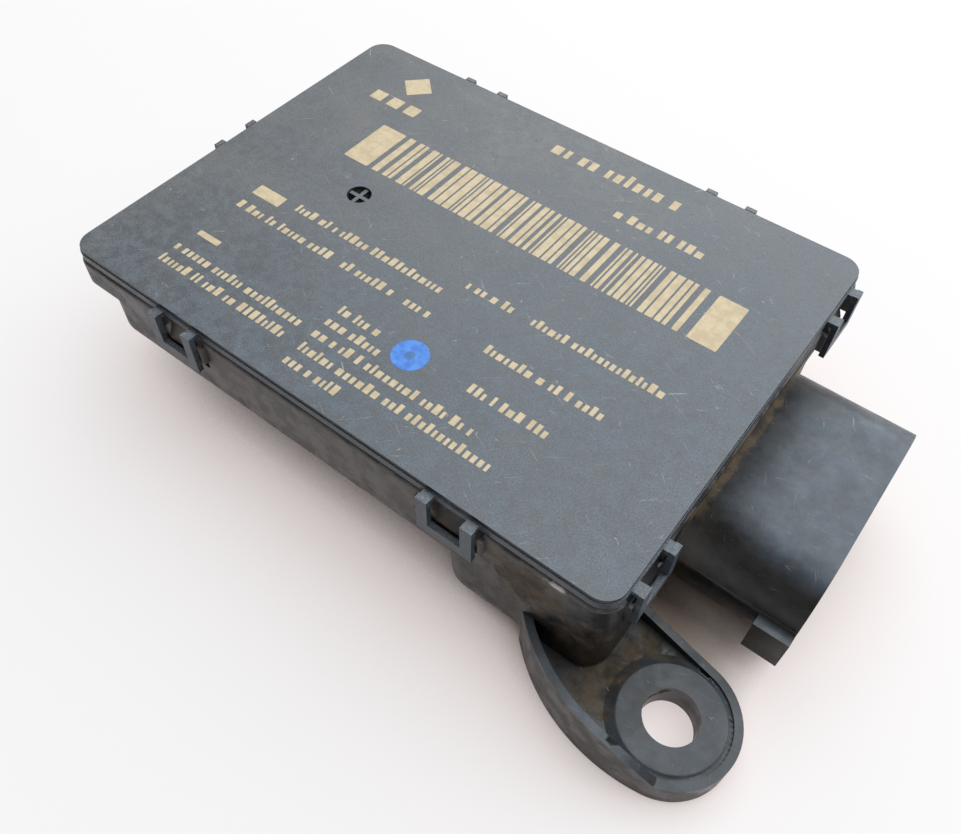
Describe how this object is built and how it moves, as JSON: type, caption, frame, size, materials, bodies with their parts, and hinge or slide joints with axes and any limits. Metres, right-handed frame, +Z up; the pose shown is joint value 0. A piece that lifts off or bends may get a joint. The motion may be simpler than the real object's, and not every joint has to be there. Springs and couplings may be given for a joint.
{
  "type": "tire pressure monitor",
  "caption": "Flat sealed receiver box for a vehicle's tyre pressure monitoring, with a clip-on lid, an oval plug collar at one end and a mounting ear with a round hole.",
  "frame": {"origin": "middle of the overall box in X and Y, at the plane the unit lies on", "axes": "+X along the box towards the plug collar, +Y from the ear's side to the far side, +Z up out of the lid"},
  "size_m": [0.1226, 0.0836, 0.025],
  "materials": {
    "lid_plastic": "matte",
    "base_plastic": "matte",
    "rubber": "matte",
    "membrane": "matte",
    "board": "satin",
    "header_plastic": "matte",
    "copper": "bright",
    "tin": "satin",
    "zinc": "satin",
    "ferrite": "matte",
    "chip": "matte",
    "orange": "satin",
    "sleeve": "gloss"
  },
  "bodies": {
    "base": {"base_housing": "base_plastic", "circuit_board": "board", "board_screw_1": "zinc", "board_screw_2": "zinc", "board_screw_3": "zinc", "board_screw_4": "zinc", "pin_header": "header_plastic", "terminal_pin_1": "tin", "terminal_pin_2": "tin", "terminal_pin_3": "tin", "terminal_pin_4": "tin", "terminal_pin_5": "tin", "terminal_pin_6": "tin", "terminal_pin_7": "tin", "terminal_pin_8": "tin", "terminal_pin_9": "tin", "terminal_pin_10": "tin", "microcontroller": "chip", "radio_receiver": "chip", "saw_filter": "tin", "crystal": "tin", "bus_transceiver": "chip", "surge_diode": "chip", "voltage_regulator": "chip", "choke_coil": "ferrite", "tantalum_capacitor_1": "orange", "tantalum_capacitor_2": "orange", "tantalum_capacitor_3": "orange", "shield_can": "tin", "smoothing_capacitor_1": "sleeve", "smoothing_capacitor_2": "sleeve", "antenna_loop": "copper"},
    "lid": {"lid": "lid_plastic", "lid_gasket": "rubber", "vent_membrane": "membrane"}
  },
  "joints": [
    {"name": "lid_lift", "type": "slide", "parent": "base", "child": "lid", "axis": [0, 0, 1], "range_m": [0, 0.03]}
  ]
}
